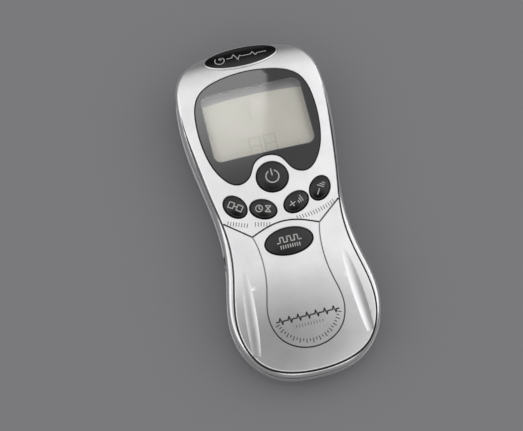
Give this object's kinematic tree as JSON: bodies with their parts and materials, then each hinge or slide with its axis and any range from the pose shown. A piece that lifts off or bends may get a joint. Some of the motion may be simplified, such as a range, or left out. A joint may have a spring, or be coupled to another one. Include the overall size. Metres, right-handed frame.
{
  "type": "electrotherapy stimulator",
  "caption": "Hand-held waisted nerve and muscle stimulator with a display, oval keys, two output sockets and a sliding battery door.",
  "frame": {"origin": "on the flat back, on the middle line, half way along the body", "axes": "+X across it, +Y towards the head with the badge and output sockets, +Z out of the face"},
  "size_m": [0.0608, 0.1368, 0.0236],
  "materials": {
    "silver_plastic": "metallic silver lacquer, satin",
    "black_key": "glossy black",
    "white_nylon": "moulded",
    "window": "smoked clear window with a dark printed border",
    "badge_black": "glossy black",
    "lcd": "polished glass, pale warm grey",
    "reflector": "pale reflector film",
    "elastomer": "layered conductive elastomer",
    "board": "green solder mask",
    "steel": "nickel plated",
    "chip": "moulded epoxy",
    "ferrite": "ferrite core and tape",
    "can": "sleeved aluminium can",
    "switch": "moulded",
    "socket": "moulded black",
    "cell_wrap": "printed sleeve",
    "red_lead": "pvc",
    "black_lead": "pvc",
    "label": "printed film"
  },
  "bodies": {
    "case": {"front_cover": "silver_plastic", "rear_cover": "silver_plastic", "display_lens": "window", "badge_plate": "badge_black", "lcd_glass": "lcd", "lcd_reflector": "reflector", "contact_strips": "elastomer", "main_board": "board", "board_screws": "steel", "case_screws": "steel", "battery_springs": "steel", "battery_contacts": "steel", "crystal": "steel", "microcontroller": "chip", "resistors": "chip", "transistors": "chip", "pulse_transformer": "ferrite", "capacitors": "can", "tact_switches": "switch", "output_jack_a": "socket", "output_jack_b": "socket", "supply_inlet": "socket", "cell_1": "cell_wrap", "cell_2": "cell_wrap", "cell_3": "cell_wrap", "battery_lead_red": "red_lead", "battery_lead_black": "black_lead", "rating_label": "label"},
    "power_key": {"power_button": "black_key", "power_plunger": "white_nylon"},
    "channel_key": {"channel_button": "black_key", "channel_plunger": "white_nylon"},
    "time_key": {"time_button": "black_key", "time_plunger": "white_nylon"},
    "stronger_key": {"stronger_button": "black_key", "stronger_plunger": "white_nylon"},
    "weaker_key": {"weaker_button": "black_key", "weaker_plunger": "white_nylon"},
    "mode_key": {"mode_button": "black_key", "mode_plunger": "white_nylon"},
    "door": {"battery_door": "silver_plastic"}
  },
  "joints": [
    {"name": "power_press", "type": "slide", "parent": "case", "child": "power_key", "axis": [0, 0, -1], "range_m": [0, 0.0005], "stiffness_N_per_m": 400},
    {"name": "channel_press", "type": "slide", "parent": "case", "child": "channel_key", "axis": [0, 0, -1], "range_m": [0, 0.0005], "stiffness_N_per_m": 400},
    {"name": "time_press", "type": "slide", "parent": "case", "child": "time_key", "axis": [0, 0, -1], "range_m": [0, 0.0005], "stiffness_N_per_m": 400},
    {"name": "stronger_press", "type": "slide", "parent": "case", "child": "stronger_key", "axis": [0, 0, -1], "range_m": [0, 0.0005], "stiffness_N_per_m": 400},
    {"name": "weaker_press", "type": "slide", "parent": "case", "child": "weaker_key", "axis": [0, 0, -1], "range_m": [0, 0.0005], "stiffness_N_per_m": 400},
    {"name": "mode_press", "type": "slide", "parent": "case", "child": "mode_key", "axis": [0, 0, -1], "range_m": [0, 0.0005], "stiffness_N_per_m": 400},
    {"name": "door_slide", "type": "slide", "parent": "case", "child": "door", "axis": [0, -1, 0], "range_m": [0, 0.062]}
  ]
}
